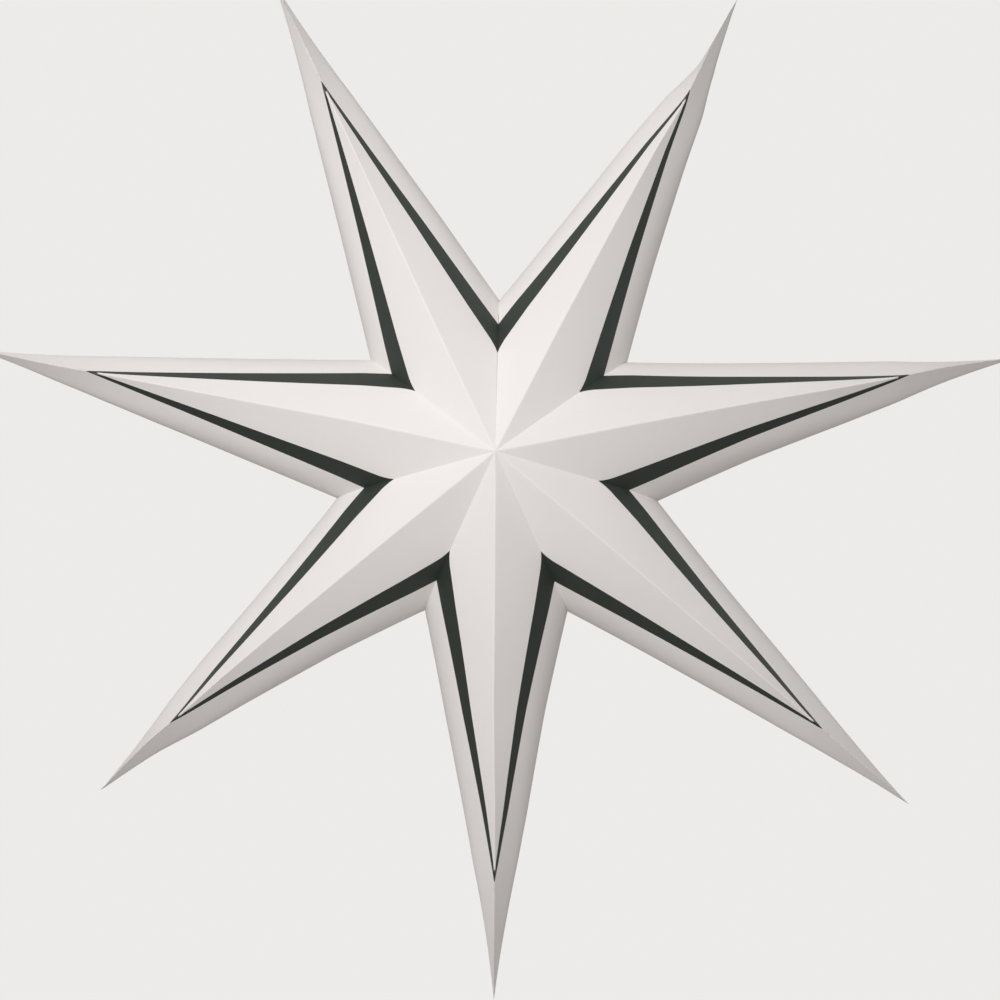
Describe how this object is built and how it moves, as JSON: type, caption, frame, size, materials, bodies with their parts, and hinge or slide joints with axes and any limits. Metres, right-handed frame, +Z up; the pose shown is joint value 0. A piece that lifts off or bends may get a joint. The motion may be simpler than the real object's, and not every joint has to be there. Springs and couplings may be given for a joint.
{
  "type": "paper advent star",
  "caption": "Hanging star shade of folded white paper points, with a dark green line printed on the front, glued side by side and open at the top for a lamp cord.",
  "frame": {"origin": "on the axis of the star, halfway between its front and its back", "axes": "+Z up as the star hangs, between the two top points; the printed front faces -Y; +X to the right seen from the front"},
  "size_m": [0.5966, 0.132, 0.5817],
  "materials": {
    "white_paper": "matt uncoated white paper",
    "green_ink": "matt dark green print on the paper",
    "clip_plastic": "pale translucent plastic"
  },
  "bodies": {
    "root": {"point_top_right": "white_paper", "point_right": "white_paper", "point_lower_right": "white_paper", "point_bottom": "white_paper", "point_lower_left": "white_paper", "point_left": "white_paper", "point_top_left": "white_paper", "line_top_right": "green_ink", "line_right": "green_ink", "line_lower_right": "green_ink", "line_bottom": "green_ink", "line_lower_left": "green_ink", "line_left": "green_ink", "line_top_left": "green_ink", "closing_clips": "clip_plastic"}
  },
  "joints": []
}
